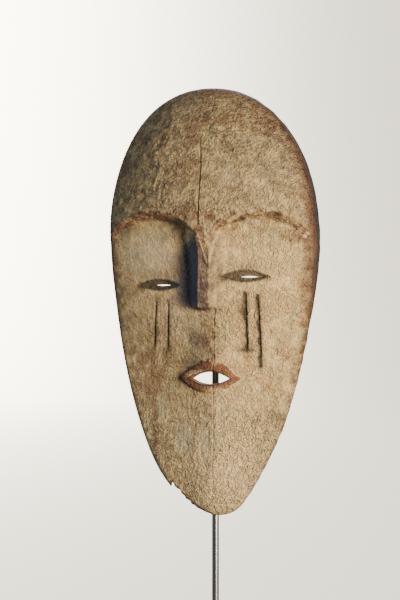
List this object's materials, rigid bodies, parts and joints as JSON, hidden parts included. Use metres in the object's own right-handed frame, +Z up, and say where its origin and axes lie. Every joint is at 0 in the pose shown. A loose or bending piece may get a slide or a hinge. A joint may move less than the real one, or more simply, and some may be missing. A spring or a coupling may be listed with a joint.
{
  "type": "carved wooden face mask on a display stand",
  "caption": "Tall oval carved wood face mask, hollow behind, with arched brows, slit eyes and an open mouth, on a steel rod with a square foot.",
  "frame": {"origin": "middle of the underside of the stand's foot, on the rod's line", "axes": "+Z up along the rod, -Y the way the mask looks, +X towards the side of the mask's higher eye"},
  "size_m": [0.1826, 0.1357, 0.48],
  "materials": {
    "kaolin_wood": "matt worn pale clay over brown wood, red ochre on the lips",
    "rod_steel": "polished round bar",
    "foot_steel": "satin plate"
  },
  "bodies": {
    "root": {"mask": "kaolin_wood", "stand_rod": "rod_steel", "stand_foot": "foot_steel"}
  },
  "joints": []
}
